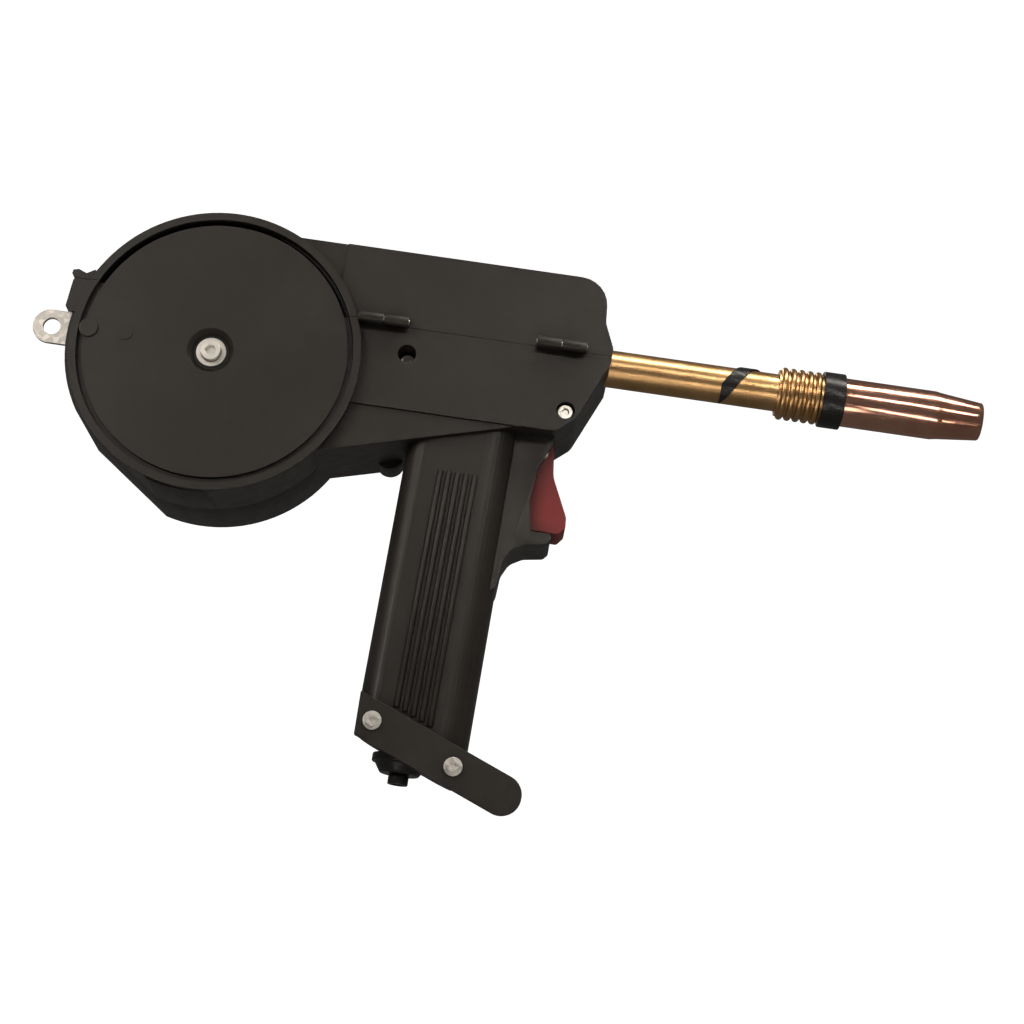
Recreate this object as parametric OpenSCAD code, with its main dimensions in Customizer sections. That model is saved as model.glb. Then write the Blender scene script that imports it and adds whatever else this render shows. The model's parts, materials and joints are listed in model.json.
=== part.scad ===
// Spool-on-gun welding torch: spool drum, drive body, motor grip and front end.
// The frame stands at the mouth of the inlet nipple under the grip.
// +X points along the barrel, +Z is up, and -Y is the side with the spool disc.
// Lengths inside placed() are measured from the spool axis.

/* [Spool drum] */
// Outer radius of the drum wall
drum_r = 62; // [60.5:0.5:63]
// Radius of the lip round the disc
rim_r = 62.2; // [61:0.1:63]
// Radius of the spool disc
disc_r = 56.5; // [54:0.5:57]
// Wall thickness of the housing
wall = 2.5; // [2:0.1:2.8]

/* [Drive body] */
// Width of the drive body
body_w = 48; // [47:1:50]
// Height of the cover's top above the spool axis
body_top = 58; // [57:0.5:60]
// Height of the seam between cover and housing
seam_z = 23.6; // [23:0.1:24]

/* [Grip] */
// Depth of the grip from back to front
grip_depth = 47.4; // [46:0.2:49]
// Width of the grip across its sides
grip_w = 41.2; // [41:0.2:43]
// Backward lean of the grip in degrees
grip_lean = 1.3; // [0.8:0.1:1.6]

/* [Front end] */
// Height of the barrel's axis above the spool axis
barrel_z = 26.5; // [26:0.1:27]
// Outer radius of the barrel tube
barrel_r = 8.25; // [8:0.05:8.5]
// X position of the nozzle's mouth
nozzle_end = 334; // [332:1:338]

/* [Hidden] */
$fn = 64;

// Place of the spool axis in the part's frame
hub_x = -106;
hub_z = 168;

// Centre of the lip and the disc, a little off the spool axis
rim_at = [1.8, 0.5];
mouth_r = rim_r - 3.3;

// Planes across the width
parting_y = 3;
rim_face = -28;
disc_face = -27;
disc_back = -24.5;
drum_far = 34.5;
drum_far_in = drum_far - wall;
body_half = body_w / 2;
panel_step = 1;
panel_z = -13;
lip_back = -25.3;

// Drum
drum_in = drum_r - wall;
flat_r = 58;
flat_in = flat_r - wall;
flat_turn = -125.6;

// Cover hinge
hinge_y = -28.5;
hinge_z = 24.5;
knuckle_r = 2.3;
hinge_pin_r = 1.1;
run_fit = 0.05;
seam_gap = 0.2;
knuckle_gap = 0.4;
hinge_starts = [60.2, 137];
knuckle_l = 10.5;

// Grip and strap
grip_back = 88.6;
grip_half = grip_w / 2;
strap_slope = -21.5;
strap_w = 16.7;
strap_t = 4;
strap_screw_a = [92.9, -146.6];
strap_screw_b = [128.4, -160.6];
strap_end = [149.4, -168.9];
strap_face = -grip_half;
foot_floor = 9;

// Gland and nipple
inlet_x = -hub_x;
inlet_end = -hub_z;
nipple_bore_r = 2.5;

// Trigger
pivot_x = 146.5;
pivot_z = -20;
trigger_half = 9.6;
guard_half = 14;
trigger_gap = 0.5;
plunger_z = -44;

// Wire drive
wire_r = 0.45;
roll_x = 112;
roll_half = 4;
drive_r = 12.3;
groove_r = 11.9;
idler_r = 9;
roll_z = barrel_z - wire_r - 0.1 - groove_r;
idler_z = barrel_z + wire_r + 0.05 + idler_r;
shaft_r = 4;
plate_y0 = 5.5;
plate_y1 = 8.5;
arm_x = 136;
arm_z = 38;
arm_y0 = -8;
arm_y1 = -4.6;
small_pin_r = 2.5;

// Spool
spool_r = 51;
spool_y0 = -20;
spool_y1 = 25;
flange_t = 2.5;
spool_core_r = 22;
winding_r = 38;
spindle_r = 8;

// Colours
shell_colour = [0.16, 0.15, 0.14];
brass_colour = [0.69, 0.54, 0.31];
copper_colour = [0.72, 0.43, 0.34];
steel_colour = [0.72, 0.70, 0.66];
black_colour = [0.07, 0.07, 0.07];

// ---------- helpers ----------

function unit(v) = v / norm(v);

// Moves each side of a counter-clockwise outline inward by d.
function inset(p, d) = [for (i = [0:len(p) - 1])
    let (a = p[(i + len(p) - 1) % len(p)], b = p[i], c = p[(i + 1) % len(p)],
        u = unit(b - a), v = unit(c - b), m = [-u[1], u[0]], n = [-v[1], v[0]])
    b + d * (m + n) / (1 + m * n)];

// Replaces each corner of an outline by an arc; r holds one radius per corner.
function rounded(p, r, steps = 6) = [for (i = [0:len(p) - 1])
    let (a = p[(i + len(p) - 1) % len(p)], b = p[i], c = p[(i + 1) % len(p)],
        u = unit(a - b), v = unit(c - b), half = acos(u * v) / 2,
        centre = b + unit(u + v) * r[i] / sin(half),
        s = b + u * r[i] / tan(half) - centre, e = b + v * r[i] / tan(half) - centre,
        from = atan2(s[1], s[0]), turn = (atan2(e[1], e[0]) - from + 540) % 360 - 180)
    for (k = [0:r[i] > 0 ? steps : 0])
        r[i] > 0 ? centre + r[i] * [cos(from + turn * k / steps), sin(from + turn * k / steps)] : b];

module placed() {
    translate([hub_x, 0, hub_z]) children();
}

// Extrudes an outline drawn in X and Z from y0 to y1.
module side(y0, y1) {
    translate([0, y1, 0]) rotate([90, 0, 0]) linear_extrude(y1 - y0) children();
}

module ycyl(x, z, r, y0, y1) {
    translate([x, y1, z]) rotate([90, 0, 0]) cylinder(h = y1 - y0, r = r);
}

module xcyl(r, x0, x1, z = barrel_z) {
    translate([x0, 0, z]) rotate([0, 90, 0]) cylinder(h = x1 - x0, r = r);
}

module slab(x0, x1, y0, y1, z0, z1) {
    translate([x0, y0, z0]) cube([x1 - x0, y1 - y0, z1 - z0]);
}

// A tube along Y
module yring(x, z, r, bore, y0, y1) {
    difference() {
        ycyl(x, z, r, y0, y1);
        ycyl(x, z, bore, y0 - 1, y1 + 1);
    }
}

// A tube along the barrel's axis
module xring(r, bore, x0, x1) {
    difference() {
        xcyl(r, x0, x1);
        xcyl(bore, x0 - 1, x1 + 1);
    }
}

// A flat bar with round ends between two points
module bar2d(a, b, r) {
    n = unit([a[1] - b[1], b[0] - a[0]]) * r;
    polygon([a + n, a - n, b - n, b + n]);
    translate(a) circle(r);
    translate(b) circle(r);
}

// One ring of points for each step of a coil along Z
function coil_ring(radius, wire, turn, z, sides) = [for (k = [0:sides - 1])
    let (q = radius + wire * cos(360 * k / sides))
    [q * cos(turn), q * sin(turn), z + wire * sin(360 * k / sides)]];

module coil(radius, wire, height, turns, sides = 8, per_turn = 16) {
    steps = turns * per_turn;
    rings = [for (i = [0:steps]) each coil_ring(radius, wire, 360 * i / per_turn,
        wire + (height - 2 * wire) * i / steps, sides)];
    skin = [for (i = [0:steps - 1]) for (k = [0:sides - 1])
        let (a = i * sides + k, b = i * sides + (k + 1) % sides) [a, a + sides, b + sides, b]];
    polyhedron(rings, concat(skin, [[for (k = [0:sides - 1]) k]],
        [[for (k = [sides - 1:-1:0]) steps * sides + k]]));
}

// ---------- outlines ----------

body_pts = [[40, -38.9], [130, -14], [136, -12.8], [150, -12.8], [158, -6], [169.6, 21],
    [169.8, 27.5], [165.2, 38.5], [163.9, body_top], [10, body_top]];
body_round = [0, 4, 4, 6, 8, 2, 3, 8, 12.6, 0];
body_inner = inset(body_pts, wall + 0.5);
body_inner_round = [0, 2, 2, 2, 4, 0, 0, 4, 8, 0];

guard_pts = [[126, -13], [126, -86], [134.7, -82], [135.6, -70.5], [138.5, -64.6], [144, -61.4],
    [152.6, -60], [154.9, -57.6], [154.2, -55.2], [145.5, -55.2], [143.3, -41], [145, -27.5],
    [150, -15.5], [150, -11]];
guard_round = [0, 0, 4, 6, 6, 6, 2, 2, 0.6, 1, 10, 10, 0, 0];

trigger_pts = [[144.2, -53.7], [157.6, -53.7], [160.3, -50.4], [160, -46], [152.2, -29],
    [151.3, -21], [150.6, -14.8], [144.4, -15], [141.8, -24], [142, -41]];
trigger_round = [1, 1.5, 2, 4, 12, 6, 1, 1, 4, 4];

// Line of the strap's middle, and the housing's foot parallel to it
strap_dir = [cos(strap_slope), sin(strap_slope)];
strap_up = [-sin(strap_slope), cos(strap_slope)];
strap_rear = strap_screw_a - 12 * strap_dir;

// ---------- housing ----------

module drum_outer() {
    ycyl(rim_at[0], rim_at[1], rim_r, rim_face, lip_back + 0.01);
    intersection() {
        ycyl(0, 0, drum_r, lip_back, drum_far);
        rotate([0, -flat_turn, 0]) translate([-100, -50, -100]) cube([100 + flat_r, 100, 200]);
    }
}

module drum_cavity() {
    intersection() {
        ycyl(0, 0, drum_in, disc_back, drum_far_in);
        rotate([0, -flat_turn, 0]) translate([-100, -50, -100]) cube([100 + flat_in, 100, 200]);
    }
}

module body_outer() {
    side(-body_half + panel_step, body_half - panel_step) polygon(rounded(body_pts, body_round));
    intersection() {
        side(-body_half, body_half) polygon(rounded(body_pts, body_round));
        slab(50, 200, -60, 60, panel_z, 100);
    }
}

module body_cavity() {
    side(-body_half + wall + 0.8, body_half - wall - 0.8)
        polygon(rounded(body_inner, body_inner_round));
}

// Cross-section of the grip, wide or narrow by d
module grip_section(d) {
    polygon(rounded([[-d, -grip_half - d], [grip_depth + d, -grip_half - d],
        [grip_depth + d, grip_half + d], [-d, grip_half + d]], [9, 14, 14, 9] + [d, d, d, d], 12));
}

module grip_outer() {
    difference() {
        union() {
            translate([grip_back, 0, -14]) rotate([0, grip_lean, 0])
                translate([0, 0, -150]) linear_extrude(152) grip_section(0);
            // flat seat for the strap
            intersection() {
                side(strap_face, strap_face + 12) strap_outline();
                slab(grip_back - 2.2, 134.2, -60, 60, -190, -100);
            }
        }
        below_foot(0);
    }
}

// Everything under the sloping foot of the grip, raised by d
module below_foot(d) {
    edge = strap_screw_a - strap_up * (strap_w / 2 - 4 - d);
    side(-60, 60) polygon([edge - 60 * strap_dir, edge - 60 * strap_dir - [0, 60],
        edge + 90 * strap_dir - [0, 60], edge + 90 * strap_dir]);
}

module grip_cavity() {
    difference() {
        translate([grip_back, 0, -14]) rotate([0, grip_lean, 0])
            translate([0, 0, -150]) linear_extrude(156) grip_section(-wall);
        below_foot(foot_floor);
    }
}

module grip_ribs() {
    for (k = [0:4]) {
        top = [104.4 + 3.7 * k, -36.4];
        foot = [101.6 + 3.7 * k, -138.9 - 1.5 * k];
        lean = atan2(top[0] - foot[0], top[1] - foot[1]);
        for (s = [-1, 1]) translate([foot[0], s * (grip_half - 0.1), foot[1]])
            rotate([0, lean, 0]) cylinder(h = norm(top - foot), r = 1.3);
    }
}

module guard_outer() {
    side(-guard_half, guard_half) polygon(rounded(guard_pts, guard_round));
}

module trigger_slot() {
    slab(129, 138, -7.2, 7.2, -54.6, -33.4);
    slab(137.9, 175, -trigger_half - trigger_gap, trigger_half + trigger_gap, -55.1, -13.4);
}

// Thumb block under the cover's ear
module rear_block() {
    side(-27, -13) polygon([[-55, 8], [-61.5, 8.6], [-64.6, 10.5], [-63.6, seam_z - 1],
        [-63, seam_z - 0.01], [-50, seam_z - 0.01]]);
}

screw_near = [153.2, -3];
screw_deep = [82.6, 12];
deep_face = -11;
screw_belly = [80, -24.6];
screws_far = [screw_belly, [-54.6, -14.7]];
belly_boss_r = 6.2;
belly_boss_y = 8;
boss_r = 4.6;
screw_r = 1.6;
screw_hole_r = 1.7;
counter_r = 4;

module screw_bosses() {
    ycyl(screw_near[0], screw_near[1], boss_r, -body_half + 1, body_half - 1);
    ycyl(screw_deep[0], screw_deep[1], boss_r + 1, -body_half + 1, parting_y);
    ycyl(screws_far[1][0], screws_far[1][1], boss_r, -23, drum_far - 1);
    ycyl(screw_belly[0], screw_belly[1], belly_boss_r, belly_boss_y, body_half - 2);
    intersection() {
        ycyl(screw_belly[0], screw_belly[1], boss_r, -23, belly_boss_y);
        side(-23, belly_boss_y) polygon(rounded(body_pts, body_round));
    }
}

module screw_holes() {
    ycyl(screw_near[0], screw_near[1], screw_hole_r, -30, body_half - 4);
    ycyl(screw_near[0], screw_near[1], counter_r, -30, -body_half + 5);
    ycyl(screw_deep[0], screw_deep[1], screw_hole_r, -30, body_half - 4);
    ycyl(screw_deep[0], screw_deep[1], counter_r, -30, deep_face);
    for (q = screws_far) {
        face = q[0] > 0 ? body_half - panel_step : drum_far;
        ycyl(q[0], q[1], screw_hole_r, -20, face + 1);
        ycyl(q[0], q[1], counter_r, face - 4, face + 1);
    }
    for (q = [strap_screw_a, strap_screw_b]) ycyl(q[0], q[1], screw_hole_r, -30, 2);
}

// Lugs that carry the foot screws inside the grip
module foot_bosses() {
    for (q = [strap_screw_a, strap_screw_b]) intersection() {
        ycyl(q[0], q[1], 4.6, -grip_half + 1, 6);
        grip_outer_block();
    }
}

module grip_outer_block() {
    difference() {
        slab(grip_back - 1, 133, -60, 60, -190, -100);
        below_foot(0);
    }
}

module gland_hole() {
    translate([inlet_x, 0, -175]) cylinder(h = 40, r = 9.1);
    translate([inlet_x, 0, -175]) cylinder(h = 19.1, r = 12.4);
}

module wire_and_barrel_way() {
    xcyl(barrel_r + 0.02, 140, 175);
}

module housing_solid() {
    difference() {
        union() {
            difference() {
                union() {
                    drum_outer();
                    body_outer();
                    grip_outer();
                    guard_outer();
                    rear_block();
                }
                drum_cavity();
                body_cavity();
                grip_cavity();
                drum_mouth();
            }
            screw_bosses();
            foot_bosses();
            grip_ribs();
        }
        trigger_slot();
        screw_holes();
        gland_hole();
        wire_and_barrel_way();
        ycyl(pivot_x, pivot_z, 2, -guard_half + 1.5, guard_half - 1.5);
        slab(-70, -50, -23.6, -21.4, -5.9, 9.3);
    }
}

// The recess in front of the disc, inside the lip
module drum_mouth() {
    ycyl(rim_at[0], rim_at[1], mouth_r, rim_face - 1, disc_back + 0.5);
}

module below_seam() {
    slab(-200, 250, -100, 100, -250, seam_z);
}

module spool_disc() {
    difference() {
        union() {
            ycyl(rim_at[0], rim_at[1], disc_r, disc_face, disc_back);
            intersection() {
                ycyl(0, 0, drum_r - 1.6, disc_back - 1.2, disc_back + 0.5);
                slab(-70, 70, -60, 60, -70, seam_z);
            }
            ycyl(0, 0, 12, disc_back - 0.1, disc_back + 3);
            ycyl(-53, 2.2, 4, disc_face - 0.8, disc_face + 0.1);
            ycyl(-37, 2.2, 3, disc_face - 0.3, disc_face + 0.1);
        }
        translate([0, disc_face - 0.01, 0]) rotate([-90, 0, 0]) cylinder(h = 3.5, r1 = 10, r2 = 7.6);
        ycyl(0, 0, 3.1, disc_face, disc_back + 4);
        for (x = [-53, -37]) ycyl(x, 2.2, 1.5, disc_face + 0.8, 0);
    }
}

module left_shell() {
    color(shell_colour) placed() {
        intersection() {
            housing_solid();
            below_seam();
            slab(-200, 250, -60, parting_y, -250, 100);
        }
        spool_disc();
        for (x = hinge_starts) shell_knuckle(x);
    }
}

plate_post_at = [screw_deep, [140.5, 12]];

module right_shell() {
    color(shell_colour) placed() {
        intersection() {
            difference() {
                union() {
                    housing_solid();
                    intersection() {
                        ycyl(0, 0, spindle_r - 0.1, 29, drum_far_in + 0.5);
                        ycyl(0, 0, 20, 20, 40);
                    }
                    for (q = plate_post_at) ycyl(q[0], q[1], 4.4, plate_y1, body_half - 2);
                }
                for (q = plate_post_at) ycyl(q[0], q[1], q == screw_deep ? screw_hole_r : 1.5, 0,
                    body_half - 4);
                ycyl(0, 0, 2.9, 20, drum_far - 1);
            }
            below_seam();
            slab(-200, 250, parting_y, 60, -250, 100);
        }
    }
}

module shell_knuckle(x) {
    difference() {
        union() {
            translate([x, hinge_y, hinge_z]) rotate([0, 90, 0]) cylinder(h = knuckle_l, r = knuckle_r);
            slab(x, x + knuckle_l, hinge_y, -body_half + 0.5, hinge_z - 2, seam_z - 0.3);
        }
        hinge_bore(x - 1, hinge_pin_r);
    }
}

module hinge_bore(x, r) {
    translate([x, hinge_y, hinge_z]) rotate([0, 90, 0]) cylinder(h = 30, r = r);
}

module cover_knuckle(x) {
    x0 = x + knuckle_l + knuckle_gap;
    difference() {
        union() {
            translate([x0, hinge_y, hinge_z]) rotate([0, 90, 0]) cylinder(h = knuckle_l, r = knuckle_r);
            slab(x0, x0 + knuckle_l, hinge_y, -body_half + 0.5, seam_z + seam_gap + 0.2,
                hinge_z + 2);
        }
        hinge_bore(x0 - 1, hinge_pin_r + run_fit);
    }
}

module cover_ear() {
    side(-27, -13) polygon([[-52, seam_z + seam_gap], [-63.2, seam_z + seam_gap],
        [-64.6, seam_z + 1.8], [-64.4, seam_z + 3.6], [-62, seam_z + 4.2], [-58.5, seam_z + 2.8],
        [-55, seam_z + 5]]);
}

module top_cover() {
    color(shell_colour) placed() {
        intersection() {
            difference() {
                union() {
                    drum_outer();
                    body_outer();
                    cover_ear();
                }
                drum_cavity();
                body_cavity();
                ycyl(rim_at[0], rim_at[1], mouth_r, rim_face - 1, lip_back + 2);
                xcyl(barrel_r + 0.45, 140, 175);
                slab(140, 175, -barrel_r - 0.45, barrel_r + 0.45, 10, barrel_z);
            }
            slab(-200, 250, -60, 60, seam_z + seam_gap, 100);
        }
        for (x = hinge_starts) cover_knuckle(x);
    }
}

module hinge_pins() {
    color(steel_colour) placed() {
        for (x = hinge_starts) translate([x - 0.3, hinge_y, hinge_z]) rotate([0, 90, 0])
            cylinder(h = 2 * knuckle_l + knuckle_gap + 0.6, r = hinge_pin_r);
    }
}

// ---------- fittings on the housing ----------

module hanger_tab() {
    color(steel_colour) placed() difference() {
        side(-23.5, -21.5) {
            bar2d([-70, 1.7], [-44, 1.7], 7.5);
            polygon([[-44, -5.8], [-31, -5.8], [-31, 9.2], [-44, 9.2]]);
        }
        ycyl(-69.4, 1.7, 3.7, -30, 0);
        for (x = [-53, -37]) ycyl(x, 2.2, 1.55, -30, 0);
    }
}

module tab_screws() {
    color(steel_colour) placed() for (x = [-53, -37]) {
        ycyl(x, 2.2, 1.5, disc_face + 0.9, -21.5);
        ycyl(x, 2.2, 2.9, -21.5, -20.6);
    }
}

module socket_head(x, z, r, y0, y1) {
    difference() {
        ycyl(x, z, r, y0, y1);
        translate([x, y0 - 0.01, z]) rotate([-90, 0, 0])
            cylinder(h = (y1 - y0) * 0.6, r = r * 0.55, $fn = 6);
    }
}

module housing_screws() {
    color(steel_colour) placed() {
        socket_head(screw_near[0], screw_near[1], 3.1, -body_half + 2.6, -body_half + 5);
        ycyl(screw_near[0], screw_near[1], screw_r, -body_half + 5, body_half - 5);
        socket_head(screw_deep[0], screw_deep[1], 3.1, deep_face - 2.4, deep_face);
        ycyl(screw_deep[0], screw_deep[1], screw_r, deep_face, body_half - 5);
        for (q = screws_far) {
            face = q[0] > 0 ? body_half - panel_step : drum_far;
            ycyl(q[0], q[1], 3.1, face - 4, face - 1.6);
            ycyl(q[0], q[1], screw_r, -19, face - 4);
        }
    }
}

module strap_outline() {
    polygon([strap_rear + strap_up * strap_w / 2, strap_rear - strap_up * strap_w / 2,
        strap_end - strap_up * strap_w / 2, strap_end + strap_up * strap_w / 2]);
    translate(strap_end) circle(strap_w / 2);
}

module foot_strap() {
    color(shell_colour) placed() difference() {
        intersection() {
            side(strap_face - strap_t, strap_face) strap_outline();
            slab(86.4, 175, -60, 0, -190, -100);
        }
        for (q = [strap_screw_a, strap_screw_b]) ycyl(q[0], q[1], 1.75, -60, 0);
    }
}

module foot_washers() {
    color(steel_colour) placed() for (q = [strap_screw_a, strap_screw_b])
        yring(q[0], q[1], 3.9, 1.75, strap_face - strap_t - 0.8, strap_face - strap_t);
}

module foot_screws() {
    color(steel_colour) placed() for (q = [strap_screw_a, strap_screw_b]) {
        socket_head(q[0], q[1], 2.7, strap_face - strap_t - 3, strap_face - strap_t - 0.8);
        ycyl(q[0], q[1], screw_r, strap_face - strap_t - 0.8, 0);
    }
}

module cable_gland() {
    color(black_colour) placed() translate([inlet_x, 0, 0]) difference() {
        union() {
            translate([0, 0, -153]) cylinder(h = 11, r = 9);
            translate([0, 0, -159.5]) cylinder(h = 3.5, r = 12.2);
            translate([0, 0, -163.8]) cylinder(h = 4.3, r1 = 8.2, r2 = 11);
            translate([0, 0, -156]) cylinder(h = 3, r = 9);
        }
        translate([0, 0, -170]) cylinder(h = 40, r = 3.5);
    }
}

module inlet_nipple() {
    color(black_colour) placed() translate([inlet_x, 0, 0]) difference() {
        union() {
            translate([0, 0, inlet_end]) cylinder(h = 4, r = 4.3);
            translate([0, 0, inlet_end + 3.9]) cylinder(h = 22, r = 3.45);
        }
        translate([0, 0, inlet_end - 1]) cylinder(h = 40, r = nipple_bore_r);
    }
}

// ---------- trigger and switch ----------

module trigger() {
    color([0.42, 0.16, 0.16]) placed() difference() {
        side(-trigger_half, trigger_half) polygon(rounded(trigger_pts, trigger_round));
        ycyl(pivot_x, pivot_z, 2 + run_fit, -20, 20);
        ycyl(pivot_x, pivot_z, 4.6, -3.2, 3.2);
        slab(140, pivot_x, -3.2, 3.2, pivot_z - 4.6, pivot_z + 8);
    }
}

module trigger_pin() {
    color(steel_colour) placed() ycyl(pivot_x, pivot_z, 2, -guard_half + 1.6, guard_half - 1.6);
}

// A close-wound torsion coil along Y
module torsion_coil(x, z, mean_r, wire, turns, y0) {
    translate([x, y0, z]) rotate([-90, 0, 0]) rotate_extrude() {
        for (k = [0:turns - 1]) translate([mean_r, wire * (2 * k + 1)]) circle(wire, $fn = 24);
        translate([mean_r - wire / 2, wire]) square([wire, 2 * wire * (turns - 1)]);
    }
}

module trigger_spring() {
    color(steel_colour) placed() torsion_coil(pivot_x, pivot_z, 2.9, 0.45, 6, -2.7);
}

module micro_switch() {
    color(black_colour) placed() difference() {
        slab(130.2, 137.2, -7, 7, -54, -34);
        translate([131.8, 0, plunger_z]) rotate([0, 90, 0]) cylinder(h = 10, r = 1.5 + run_fit);
    }
}

module switch_plunger() {
    color([0.75, 0.2, 0.15]) placed() translate([134.6, 0, plunger_z]) rotate([0, 90, 0])
        cylinder(h = 7, r = 1.5);
}

// ---------- front end ----------

module barrel() {
    color(brass_colour) placed() xring(barrel_r, 5, 152, 250);
}

module barrel_band() {
    turn = 190;
    color(black_colour) placed() translate([219, 0, barrel_z]) rotate([0, 90, 0]) rotate([0, 0, 285])
        linear_extrude(height = 18, twist = turn, slices = 24) polygon(concat(
            [for (a = [0:9:72]) (barrel_r + 0.8) * [cos(a), sin(a)]],
            [for (a = [72:-9:0]) (barrel_r + 0.1) * [cos(a), sin(a)]]));
}

module wire_liner() {
    color([0.85, 0.85, 0.8]) placed() xring(2, 0.9, 150, 284);
}

module nozzle_nut() {
    x0 = 244;
    ridges = 5;
    pitch = 3.7;
    color(brass_colour) placed() difference() {
        union() {
            xcyl(10.2, x0, 263.4);
            for (k = [0:ridges - 1]) translate([x0 + 2.3 + pitch * k, 0, barrel_z])
                rotate([0, 90, 0]) rotate_extrude() translate([10.1, 0]) circle(1.5, $fn = 32);
        }
        xcyl(barrel_r + 0.02, x0 - 1, 270);
    }
}

module insulator_ring() {
    color(black_colour) placed() difference() {
        union() {
            xcyl(12.3, 263.4, 272.9);
            xcyl(9.05, 272.8, 284);
        }
        xcyl(barrel_r, 260, 290);
    }
}

module nozzle() {
    color(copper_colour) placed() translate([0, 0, barrel_z]) rotate([0, 90, 0])
        rotate_extrude() polygon([[9.1, 273], [10.7, 273], [10.7, 313], [10.2, 316],
            [8.3, nozzle_end - 0.5], [7.9, nozzle_end], [6.9, nozzle_end], [8.8, 315], [9.1, 312]]);
}

module gas_diffuser() {
    color(brass_colour) placed() difference() {
        union() {
            xcyl(barrel_r - 0.05, 250.2, 284);
            xcyl(6.2, 283.9, 297);
        }
        xcyl(2.05, 250, 285);
        xcyl(3.2, 284.5, 298);
        for (a = [45:90:315]) translate([289, 0, barrel_z]) rotate([a, 0, 0]) cylinder(h = 8, r = 1.2);
    }
}

module contact_tip() {
    color(copper_colour) placed() difference() {
        union() {
            xcyl(3.15, 284.6, 297);
            xcyl(4, 297, 325);
            translate([325, 0, barrel_z]) rotate([0, 90, 0]) cylinder(h = 3, r1 = 4, r2 = 3);
        }
        xcyl(0.7, 280, 340);
    }
}

// ---------- current block and feed ----------

module conductor_block() {
    color(brass_colour) placed() difference() {
        slab(146.8, 162, -10, 10, 15.5, 37);
        xcyl(barrel_r + 0.02, 151.9, 170);
        xcyl(2.1, 140, 160);
        for (x = [150, 159]) ycyl(x, 17.3, 0.9, -12, 12);
    }
}

module block_screws() {
    color(steel_colour) placed() for (s = [-1, 1]) for (x = [150, 159]) {
        ycyl(x, 17.3, 0.85, s > 0 ? 5 : -10, s > 0 ? 10 : -5);
        ycyl(x, 17.3, 1.6, s > 0 ? 10 : -11.4, s > 0 ? 11.4 : -10);
    }
}

module feed_plate() {
    color([0.62, 0.63, 0.64]) placed() difference() {
        union() {
            side(plate_y0, plate_y1) polygon(rounded([[72, 4], [104, -4], [149, 2], [149, 14.5],
                [146, 38], [130, 46], [100, 44], [72, 34]], [4, 6, 4, 1, 6, 6, 6, 4], 3));
            for (x = [74, 131]) slab(x, x + 8, -5, plate_y0, 21, 32);
            ycyl(arm_x, arm_z, 4.4, 1, plate_y0);
        }
        xcyl(2.9, 60, 142);
        ycyl(roll_x, roll_z, 6.2, 0, 20);
        ycyl(arm_x, arm_z, small_pin_r, 0, 20);
        for (q = plate_post_at) ycyl(q[0], q[1], 1.7, 0, 20);
        slab(142, 160, -20, 20, 14.9, 60);
    }
}

module plate_screws() {
    color(steel_colour) placed() {
        socket_head(plate_post_at[1][0], plate_post_at[1][1], 3.1, plate_y0 - 2.6, plate_y0);
        ycyl(plate_post_at[1][0], plate_post_at[1][1], 1.45, plate_y0, 18);
    }
}

module inlet_guide() {
    color(brass_colour) placed() difference() {
        xcyl(2.85, 71, 98.5);
        xcyl(0.9, 60, 100);
        translate([70.9, 0, barrel_z]) rotate([0, 90, 0]) cylinder(h = 2.2, r1 = 2.3, r2 = 0.9);
    }
}

module outlet_guide() {
    color(brass_colour) placed() xring(2.85, 0.9, 126, 141.9);
}

// Motor parts lean with the grip.
module in_grip() {
    translate([112, 0, -30]) rotate([0, grip_lean, 0]) children();
}

motor_r = 17.6;

module motor_can() {
    color(steel_colour) placed() in_grip() translate([0, 0, -92]) cylinder(h = 58, r = motor_r);
}

module motor_end_cap() {
    color(black_colour) placed() in_grip() translate([0, 0, -99]) {
        translate([0, 0, 2]) cylinder(h = 4.98, r = motor_r - 0.4);
        cylinder(h = 2.1, r = 6);
    }
}

module gearbox() {
    color([0.45, 0.45, 0.46]) placed() difference() {
        union() {
            in_grip() translate([0, 0, -33.98]) cylinder(h = 24, r = 16.5);
            slab(103, 121, plate_y1 + 0.02, 17.9, -42, 24);
        }
        ycyl(roll_x, roll_z, shaft_r + run_fit, 5, 17);
    }
}

module output_shaft() {
    color(steel_colour) placed() difference() {
        ycyl(roll_x, roll_z, shaft_r, -roll_half, 16);
        ycyl(roll_x, roll_z, 1.3, -6, 4);
    }
}

module drive_roll() {
    color(steel_colour) placed() translate([roll_x, 0, roll_z]) rotate([-90, 0, 0]) rotate_extrude()
        polygon([[shaft_r, -roll_half], [drive_r, -roll_half], [drive_r, -0.9], [groove_r, -0.15],
            [groove_r, 0.15], [drive_r, 0.9], [drive_r, roll_half], [shaft_r, roll_half]]);
}

module roll_screw() {
    color(steel_colour) placed() {
        ycyl(roll_x, roll_z, 1.25, -roll_half, 3);
        socket_head(roll_x, roll_z, 5.5, -roll_half - 2.4, -roll_half);
    }
}

module pressure_arm() {
    color([0.5, 0.5, 0.52]) placed() difference() {
        union() {
            side(arm_y0, arm_y1) {
                bar2d([roll_x, idler_z], [arm_x, arm_z], 5.5);
                bar2d([roll_x, idler_z], [100, 43], 3.2);
            }
            slab(98, 103, arm_y0, 4, 42, 46.2);
        }
        ycyl(arm_x, arm_z, small_pin_r + run_fit, -20, 20);
        ycyl(roll_x, idler_z, small_pin_r, -20, 20);
    }
}

module arm_pin() {
    color(steel_colour) placed() {
        ycyl(arm_x, arm_z, small_pin_r, arm_y0 - 0.2, plate_y1);
        ycyl(arm_x, arm_z, 4, arm_y0 - 1.8, arm_y0 - 0.2);
    }
}

module arm_spring() {
    color(steel_colour) placed() torsion_coil(arm_x, arm_z, 3.5, 0.55, 4, -4.3);
}

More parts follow.
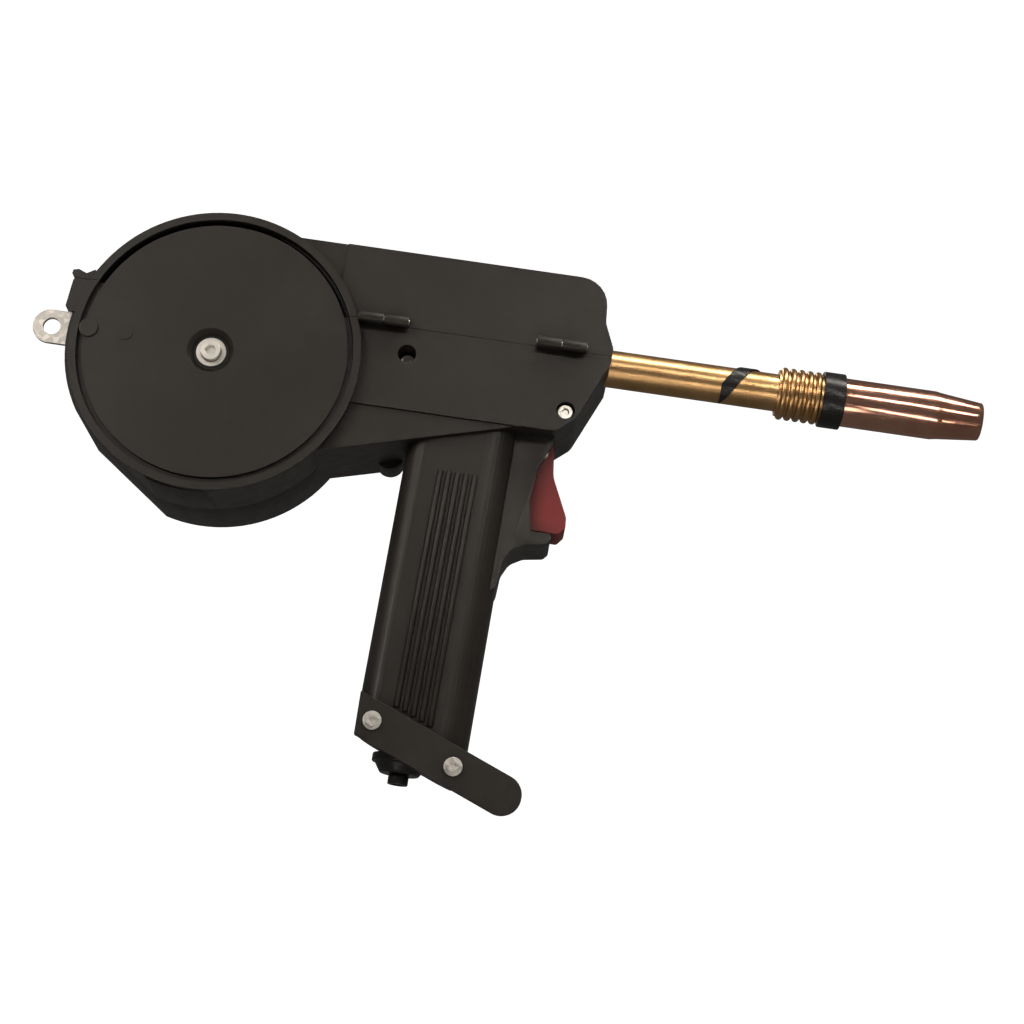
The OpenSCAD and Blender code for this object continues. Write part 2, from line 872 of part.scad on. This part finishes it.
module idler_roll() {
    color(steel_colour) placed() yring(roll_x, idler_z, idler_r, small_pin_r + run_fit,
        -roll_half, roll_half);
}

module idler_pin() {
    color(steel_colour) placed() {
        ycyl(roll_x, idler_z, small_pin_r, arm_y0, roll_half + 0.2);
        ycyl(roll_x, idler_z, 3.8, roll_half + 0.2, roll_half + 1.2);
    }
}

// ---------- spool ----------

module spool() {
    color([0.12, 0.12, 0.13]) placed() difference() {
        union() {
            ycyl(0, 0, spool_r, spool_y0, spool_y0 + flange_t);
            ycyl(0, 0, spool_r, spool_y1 - flange_t, spool_y1);
            ycyl(0, 0, spool_core_r, spool_y0, spool_y1);
        }
        ycyl(0, 0, spindle_r + run_fit, -40, 40);
        for (a = [0:60:300]) rotate([0, a, 0]) ycyl(37, 0, 6, -40, spool_y0 + flange_t + 0.01);
        for (a = [0:60:300]) rotate([0, a, 0]) ycyl(37, 0, 6, spool_y1 - flange_t - 0.01, 40);
    }
}

module wire_winding() {
    color([0.78, 0.78, 0.76]) placed()
        yring(0, 0, winding_r, spool_core_r, spool_y0 + flange_t + 0.02, spool_y1 - flange_t - 0.02);
}

// The wire leaves the top of the winding, turns at the inlet guide and runs to the tip.
module weld_wire() {
    bend = [71.5, barrel_z];
    leave_r = winding_r + wire_r + 0.2;
    leave_a = atan2(bend[1], bend[0]) + acos(leave_r / norm(bend));
    leave = leave_r * [cos(leave_a), sin(leave_a)];
    run = bend - leave;
    color([0.8, 0.8, 0.78]) placed() {
        translate([leave[0], 0, leave[1]]) rotate([0, 90 - atan2(run[1], run[0]), 0])
            cylinder(h = norm(run), r = wire_r);
        translate([bend[0], 0, bend[1]]) sphere(wire_r + 0.1);
        xcyl(wire_r, bend[0], 330);
    }
}

module spindle() {
    color(steel_colour) placed() yring(0, 0, spindle_r, 3.1, disc_back + 3, 29);
}

module spindle_screw() {
    color(steel_colour) placed() {
        socket_head(0, 0, 4.25, disc_face - 0.2, disc_face + 2.7);
        ycyl(0, 0, 2.9, disc_face + 2.7, drum_far - 1.2);
    }
}

module spindle_washer() {
    color([0.9, 0.89, 0.86]) placed() yring(0, 0, 6.4, 4.4, disc_face + 2.5, disc_face + 3.48);
}

module brake_washer() {
    color([0.8, 0.75, 0.6]) placed() yring(0, 0, 13, spindle_r + 0.1, spool_y1 + 0.2, spool_y1 + 1.4);
}

module brake_spring() {
    color(steel_colour) placed() translate([0, spool_y1 + 1.4, 0]) rotate([-90, 0, 0])
        coil(9.6, 0.7, drum_far_in - spool_y1 - 1.4, 2);
}

// ---------- leads inside ----------

lead_path = [[102.5, 4.5, -140.4], [96.5, 9.5, -136], [91.8, 12.4, -129], [93.4, 12.6, -45],
    [95, 6, -33], [96.5, -4, -24], [103, -8, -11], [120, -8, -7.5], [135, -8.5, -4.5],
    [144, -8.5, 2], [150, -6.3, 10], [150.2, -6, 14.6]];
gas_path = [[106, 0, -141.2], [106, -0.5, -138.3], [100, -6, -135], [92.6, -11.8, -131],
    [91.6, -12.6, -124], [93.4, -12.6, -45], [95.5, -13.2, -31], [97, -14.2, -20],
    [103, -14.5, -10], [138, -15, -4], [145.5, -14.8, 8], [149, -14.5, 20], [150.5, -13.8, 27],
    [151.3, -12, 29]];

// One ring of a tube, square to the path's direction at point i
function tube_ring(path, i, r, sides) =
    let (last = len(path) - 1, t = unit(path[min(i + 1, last)] - path[max(i - 1, 0)]),
        u = unit(cross(t, [0, 1, 0])), v = cross(t, u))
    [for (k = [0:sides - 1]) path[i] + r * (cos(360 * k / sides) * u + sin(360 * k / sides) * v)];

module path_tube(path, r, sides = 10) {
    last = len(path) - 1;
    rings = [for (i = [0:last]) each tube_ring(path, i, r, sides)];
    skin = [for (i = [0:last - 1]) for (k = [0:sides - 1])
        let (p = i * sides + k, q = i * sides + (k + 1) % sides) [p, p + sides, q + sides, q]];
    polyhedron(rings, concat(skin, [[for (k = [0:sides - 1]) k]],
        [[for (k = [sides - 1:-1:0]) last * sides + k]]));
}

module current_lead() {
    color([0.6, 0.12, 0.1]) placed() path_tube(lead_path, 1.6);
}

module gas_tube() {
    color([0.2, 0.3, 0.55]) placed() path_tube(gas_path, 1.9);
}

left_shell();
right_shell();
top_cover();
hinge_pins();
hanger_tab();
tab_screws();
housing_screws();
foot_strap();
foot_screws();
foot_washers();
cable_gland();
inlet_nipple();
trigger();
trigger_pin();
trigger_spring();
micro_switch();
switch_plunger();
barrel();
barrel_band();
wire_liner();
nozzle_nut();
insulator_ring();
nozzle();
gas_diffuser();
contact_tip();
conductor_block();
block_screws();
feed_plate();
plate_screws();
motor_can();
motor_end_cap();
gearbox();
output_shaft();
drive_roll();
roll_screw();
pressure_arm();
arm_pin();
arm_spring();
idler_roll();
idler_pin();
inlet_guide();
outlet_guide();
spool();
wire_winding();
weld_wire();
spindle();
spindle_screw();
spindle_washer();
brake_washer();
brake_spring();
current_lead();
gas_tube();
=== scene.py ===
import json
import math

import bpy
from mathutils import Matrix, Vector

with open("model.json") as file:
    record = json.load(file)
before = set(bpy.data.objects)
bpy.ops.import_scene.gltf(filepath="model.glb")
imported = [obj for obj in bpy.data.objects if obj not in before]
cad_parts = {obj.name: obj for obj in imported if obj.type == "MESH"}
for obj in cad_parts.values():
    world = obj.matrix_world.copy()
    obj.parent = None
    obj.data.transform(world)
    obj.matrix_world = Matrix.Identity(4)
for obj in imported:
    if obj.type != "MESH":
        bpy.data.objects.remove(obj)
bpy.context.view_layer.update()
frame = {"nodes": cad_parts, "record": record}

CAD = frame["nodes"]
SLOT_OF = {row["node"]: row["material_slot"] for row in frame["record"]["subparts"]}


# ---------- node helpers for materials ----------

class Mat:
    """A node material with one Principled shader and short helpers."""

    def __init__(self, name):
        self.mat = bpy.data.materials.new(name)
        self.mat.use_nodes = True
        self.tree = self.mat.node_tree
        self.shader = self.tree.nodes["Principled BSDF"]
        self.coords = self.add("ShaderNodeTexCoord")

    def add(self, kind, **values):
        node = self.tree.nodes.new(kind)
        for key, value in values.items():
            setattr(node, key, value)
        return node

    def link(self, source, target):
        self.tree.links.new(source, target)

    def noise(self, scale, detail=4.0, rough=0.55, stretch=None):
        node = self.add("ShaderNodeTexNoise")
        node.inputs["Scale"].default_value = scale
        node.inputs["Detail"].default_value = detail
        node.inputs["Roughness"].default_value = rough
        place = self.coords.outputs["Object"]
        if stretch:
            mapping = self.add("ShaderNodeMapping")
            mapping.inputs["Scale"].default_value = stretch
            self.link(place, mapping.inputs["Vector"])
            place = mapping.outputs["Vector"]
        self.link(place, node.inputs["Vector"])
        return node.outputs["Fac"]

    def ramp(self, factor, stops):
        node = self.add("ShaderNodeValToRGB")
        ramp = node.color_ramp
        while len(ramp.elements) < len(stops):
            ramp.elements.new(0.5)
        for element, (place, colour) in zip(ramp.elements, stops):
            element.position = place
            element.color = (*colour, 1.0)
        self.link(factor, node.inputs["Fac"])
        return node.outputs["Color"]

    def remap(self, factor, low, high, from_low=0.3, from_high=0.7):
        node = self.add("ShaderNodeMapRange")
        node.inputs["From Min"].default_value = from_low
        node.inputs["From Max"].default_value = from_high
        node.inputs["To Min"].default_value = low
        node.inputs["To Max"].default_value = high
        self.link(factor, node.inputs["Value"])
        return node.outputs["Result"]

    def bump(self, heights):
        """Chains (factor, strength, distance) triples into one normal."""
        normal = None
        for factor, strength, distance in heights:
            node = self.add("ShaderNodeBump")
            node.inputs["Strength"].default_value = strength
            node.inputs["Distance"].default_value = distance
            self.link(factor, node.inputs["Height"])
            if normal:
                self.link(normal, node.inputs["Normal"])
            normal = node.outputs["Normal"]
        self.link(normal, self.shader.inputs["Normal"])

    def painted_shade_mask(self, distance, low, high):
        """Mask that falls to 0 in grooves and under lips, where shade falls; it paints shade into
        the base colour.
        """
        node = self.add("ShaderNodeAmbientOcclusion", samples=6)
        node.inputs["Distance"].default_value = distance
        return self.remap(node.outputs["AO"], 0.0, 1.0, low, high)

    def blend(self, factor, first, second):
        node = self.add("ShaderNodeMix", data_type="RGBA")
        self.link(factor, node.inputs["Factor"])
        for source, socket in ((first, node.inputs[6]), (second, node.inputs[7])):
            if isinstance(source, tuple):
                socket.default_value = (*source, 1.0)
            else:
                self.link(source, socket)
        return node.outputs[2]

    def set(self, **values):
        for key, value in values.items():
            self.shader.inputs[key.replace("_", " ")].default_value = value

    def colour(self, source):
        self.link(source, self.shader.inputs["Base Color"])

    def rough(self, source):
        self.link(source, self.shader.inputs["Roughness"])


def plastic(name, dark, light, rough_low, rough_high, grain=0.35, grain_scale=2600.0):
    m = Mat(name)
    broad = m.noise(28.0, 5.0)
    fine = m.noise(grain_scale, 2.0)
    scuff = m.noise(160.0, 6.0, 0.7)
    body = m.ramp(broad, [(0.3, dark), (0.7, light)])
    # Painted shade: the base colour falls to a quarter of the dark tone in grooves and under
    # lips, by ambient occlusion.
    painted_shade_colour = tuple(0.25 * channel for channel in dark)
    m.colour(m.blend(m.painted_shade_mask(0.007, 0.35, 0.95), painted_shade_colour, body))
    m.rough(m.remap(scuff, rough_low, rough_high))
    m.bump([(fine, grain, 0.00012), (broad, 0.12, 0.0006)])
    m.set(Specular_IOR_Level=0.3)
    return m.mat


def metal(name, dark, light, rough_low, rough_high, stretch=(1, 1, 1), scale=500.0, bump=0.08):
    m = Mat(name)
    streak = m.noise(scale, 5.0, 0.6, stretch)
    stain = m.noise(60.0, 5.0, 0.6)
    m.colour(m.ramp(stain, [(0.3, dark), (0.68, light)]))
    m.rough(m.remap(streak, rough_low, rough_high))
    m.bump([(streak, bump, 0.0001)])
    m.set(Metallic=1.0)
    return m.mat


def galvanised():
    m = Mat("galvanised_spangle")
    cells = m.add("ShaderNodeTexVoronoi")
    cells.inputs["Scale"].default_value = 420.0
    m.link(m.coords.outputs["Object"], cells.inputs["Vector"])
    speck = m.noise(1500.0, 3.0)
    grey = (0.50, 0.47, 0.44)
    pale = (0.72, 0.68, 0.63)
    m.colour(m.ramp(cells.outputs["Color"], [(0.2, grey), (0.9, pale)]))
    m.rough(m.remap(speck, 0.38, 0.62))
    m.bump([(speck, 0.25, 0.0001)])
    m.set(Metallic=0.85)
    return m.mat


def winding_mat():
    m = Mat("wound_wire")
    wave = m.add("ShaderNodeTexWave", wave_type="BANDS", bands_direction="Y")
    wave.inputs["Scale"].default_value = 340.0
    m.link(m.coords.outputs["Object"], wave.inputs["Vector"])
    # Painted shade: the colour goes from the wire's own pale grey at each crest to dark grey in
    # the grooves between turns.
    painted_groove_shade = (0.30, 0.30, 0.30)
    crest = (0.80, 0.80, 0.78)
    m.colour(m.ramp(wave.outputs["Fac"], [(0.0, painted_groove_shade), (1.0, crest)]))
    m.rough(m.remap(m.noise(900.0), 0.25, 0.45))
    m.bump([(wave.outputs["Fac"], 0.8, 0.0004)])
    m.set(Metallic=1.0)
    return m.mat


# Colours are linear; pairs of numbers are the lowest and highest roughness
MATERIALS = {
    "shell_plastic": plastic("shell_plastic", (0.018, 0.0152, 0.0131), (0.026, 0.0221, 0.019),
                             0.34, 0.48),
    "black_plastic": plastic("smooth_black_plastic", (0.010, 0.010, 0.010), (0.018, 0.017, 0.016),
                             0.22, 0.36, grain=0.1),
    "trigger_red": plastic("trigger_red", (0.16, 0.018, 0.018), (0.22, 0.026, 0.024), 0.38, 0.5,
                           grain=0.25),
    "brass": metal("polished_brass", (0.50, 0.29, 0.12), (0.70, 0.43, 0.20), 0.26, 0.38,
                   (0.08, 1, 1), 900.0, 0.04),
    "copper": metal("polished_copper", (0.68, 0.32, 0.21), (0.86, 0.48, 0.35), 0.1, 0.24,
                    (0.08, 1, 1), 900.0, 0.04),
    "steel": metal("zinc_steel", (0.74, 0.70, 0.64), (0.90, 0.86, 0.80), 0.28, 0.46, (1, 1, 1),
                   700.0, 0.03),
    "galvanised": galvanised(),
    "alloy": metal("machined_alloy", (0.48, 0.49, 0.50), (0.66, 0.67, 0.68), 0.3, 0.45,
                   (0.1, 1, 1)),
    "wire_alloy": metal("drawn_wire", (0.62, 0.62, 0.61), (0.8, 0.8, 0.79), 0.2, 0.35),
    "switch_red": plastic("switch_red", (0.35, 0.03, 0.02), (0.5, 0.06, 0.04), 0.25, 0.35),
    "liner_plastic": plastic("liner_plastic", (0.6, 0.6, 0.55), (0.75, 0.75, 0.7), 0.4, 0.5),
    "lead_red": plastic("lead_red", (0.22, 0.02, 0.02), (0.32, 0.035, 0.03), 0.45, 0.6),
    "hose_blue": plastic("hose_blue", (0.05, 0.09, 0.22), (0.09, 0.14, 0.32), 0.35, 0.5),
}

WINDING = winding_mat()


# ---------- finish on the CAD nodes ----------

# Edge radius in metres of the moulded, cast and stamped nodes
EDGES = {
    "left_shell": 0.0006, "right_shell": 0.0006, "top_cover": 0.0006, "foot_strap": 0.0007,
    "trigger": 0.0012, "hanger_tab": 0.0003, "cable_gland": 0.0005, "inlet_nipple": 0.0003,
    "insulator_ring": 0.0005, "housing_screws": 0.0003, "foot_screws": 0.0003,
    "foot_washers": 0.0002, "spindle_screw": 0.0003, "spindle_washer": 0.0002,
    "nozzle": 0.0002, "barrel_band": 0.0001, "hinge_pins": 0.0003, "spool": 0.0006,
    "drive_roll": 0.0003, "idler_roll": 0.0003, "pressure_arm": 0.0005, "gearbox": 0.0008,
    "feed_plate": 0.0004, "conductor_block": 0.0004, "motor_can": 0.0006,
}


WELD_REACH = 0.00001
FLAT_ANGLE = math.radians(0.5)
SHARP_ANGLE = math.radians(32)


def bevelled(obj, width):
    """Rounds the sharp edges of a CAD node by modifiers, with its mesh left as it is."""
    weld = obj.modifiers.new("weld", "WELD")
    weld.merge_threshold = WELD_REACH
    flat = obj.modifiers.new("flat", "DECIMATE")
    flat.decimate_type = "DISSOLVE"
    flat.angle_limit = FLAT_ANGLE
    bevel = obj.modifiers.new("bevel", "BEVEL")
    bevel.width = width
    bevel.segments = 3
    bevel.limit_method = "ANGLE"
    bevel.angle_limit = SHARP_ANGLE
    bevel.use_clamp_overlap = True
    bevel.harden_normals = True


def dress_cad_nodes():
    for node, slot in SLOT_OF.items():
        obj = CAD[node]
        obj.data.materials.clear()
        obj.data.materials.append(WINDING if node == "wire_winding" else MATERIALS[slot])
        if node in EDGES:
            bevelled(obj, EDGES[node])


dress_cad_nodes()


# ---------- stage, light and camera, in metres and watts ----------

STAGE_SIZE = 8.0
FLOOR_Z = -1.2
WALL_REACH = 4.0
WALL_Z = FLOOR_Z + STAGE_SIZE / 2
UPRIGHT = math.radians(90)
FLOOR_GLOW = 0.8
WALL_GLOW = 1.0
WORLD_GLOW = 0.1
WARM = (1.0, 0.95, 0.88)
GUN_MIDDLE = (0, 0, 0.12)
FRONT_END = (0.15, 0, 0.19)

CAMERA_PLACE = Vector((0.0415, -0.8823, -0.1143))
CAMERA_RIGHT = Vector((0.98964, -0.02592, 0.14121))
CAMERA_BACK = Vector((0.01186, -0.96544, -0.26036))
CAMERA_LENS = 74.47
SENSOR_WIDTH = 36.0


def stage_plane(name, place, turn, glow):
    """A pale plane that the camera sees and that gives no light to the gun."""
    bpy.ops.mesh.primitive_plane_add(size=STAGE_SIZE, location=place, rotation=turn)
    obj = bpy.context.object
    obj.name = name
    m = Mat(name + "_paint")
    m.colour(m.ramp(m.noise(3.0), [(0.0, (0.80, 0.80, 0.80)), (1.0, (0.82, 0.82, 0.82))]))
    m.set(Roughness=0.9, Emission_Color=(1, 1, 1, 1), Emission_Strength=glow)
    obj.data.materials.append(m.mat)
    obj.visible_diffuse = False
    obj.visible_glossy = False
    obj.visible_shadow = False


def area_light(name, place, target, size, power):
    data = bpy.data.lights.new(name, "AREA")
    data.shape = "RECTANGLE"
    data.size = size[0]
    data.size_y = size[1]
    data.energy = power
    data.color = WARM
    obj = bpy.data.objects.new(name, data)
    obj.location = place
    obj.visible_camera = False
    aim = Vector(target) - Vector(place)
    obj.rotation_euler = aim.to_track_quat("-Z", "Y").to_euler()
    bpy.context.collection.objects.link(obj)


def build_walls():
    stage_plane("wall_back", (0, WALL_REACH, WALL_Z), (UPRIGHT, 0, 0), WALL_GLOW)
    stage_plane("wall_front", (0, -WALL_REACH, WALL_Z), (UPRIGHT, 0, 0), WALL_GLOW)
    stage_plane("wall_left", (-WALL_REACH, 0, WALL_Z), (UPRIGHT, 0, UPRIGHT), WALL_GLOW)
    stage_plane("wall_right", (WALL_REACH, 0, WALL_Z), (UPRIGHT, 0, UPRIGHT), WALL_GLOW)


def build_world():
    world = bpy.data.worlds.new("studio")
    world.use_nodes = True
    world.node_tree.nodes["Background"].inputs["Color"].default_value = (1.0, 0.98, 0.95, 1)
    world.node_tree.nodes["Background"].inputs["Strength"].default_value = WORLD_GLOW
    bpy.context.scene.world = world


def build_lights():
    area_light("key", (-0.75, -0.85, 0.55), (-0.12, 0, 0.12), (0.6, 0.4), 4.8)
    area_light("fill", (-0.25, -0.8, -0.9), (-0.02, 0, 0.08), (0.6, 0.4), 2.4)
    area_light("top_strip", (0.25, -0.3, 0.9), (0.1, 0, 0.15), (0.7, 0.12), 5)
    area_light("front_strip", (0.3, -0.75, 0.42), FRONT_END, (0.55, 0.03), 1.5)
    area_light("low_strip", (0.35, -0.7, -0.35), FRONT_END, (0.5, 0.05), 1.0)
    area_light("rear", (-0.5, 1.0, 0.9), GUN_MIDDLE, (0.8, 0.5), 4)


def build_camera():
    data = bpy.data.cameras.new("camera")
    data.sensor_width = SENSOR_WIDTH
    data.lens = CAMERA_LENS
    cam = bpy.data.objects.new("camera", data)
    back = CAMERA_BACK.normalized()
    up = back.cross(CAMERA_RIGHT.normalized()).normalized()
    right = up.cross(back)
    turn = Matrix((right, up, back)).transposed().to_4x4()
    cam.matrix_world = Matrix.Translation(CAMERA_PLACE) @ turn
    bpy.context.collection.objects.link(cam)
    bpy.context.scene.camera = cam


stage_plane("floor", (0, 0, FLOOR_Z), (0, 0, 0), FLOOR_GLOW)
build_walls()
build_world()
build_lights()
build_camera()
bpy.context.scene.view_settings.view_transform = "Standard"
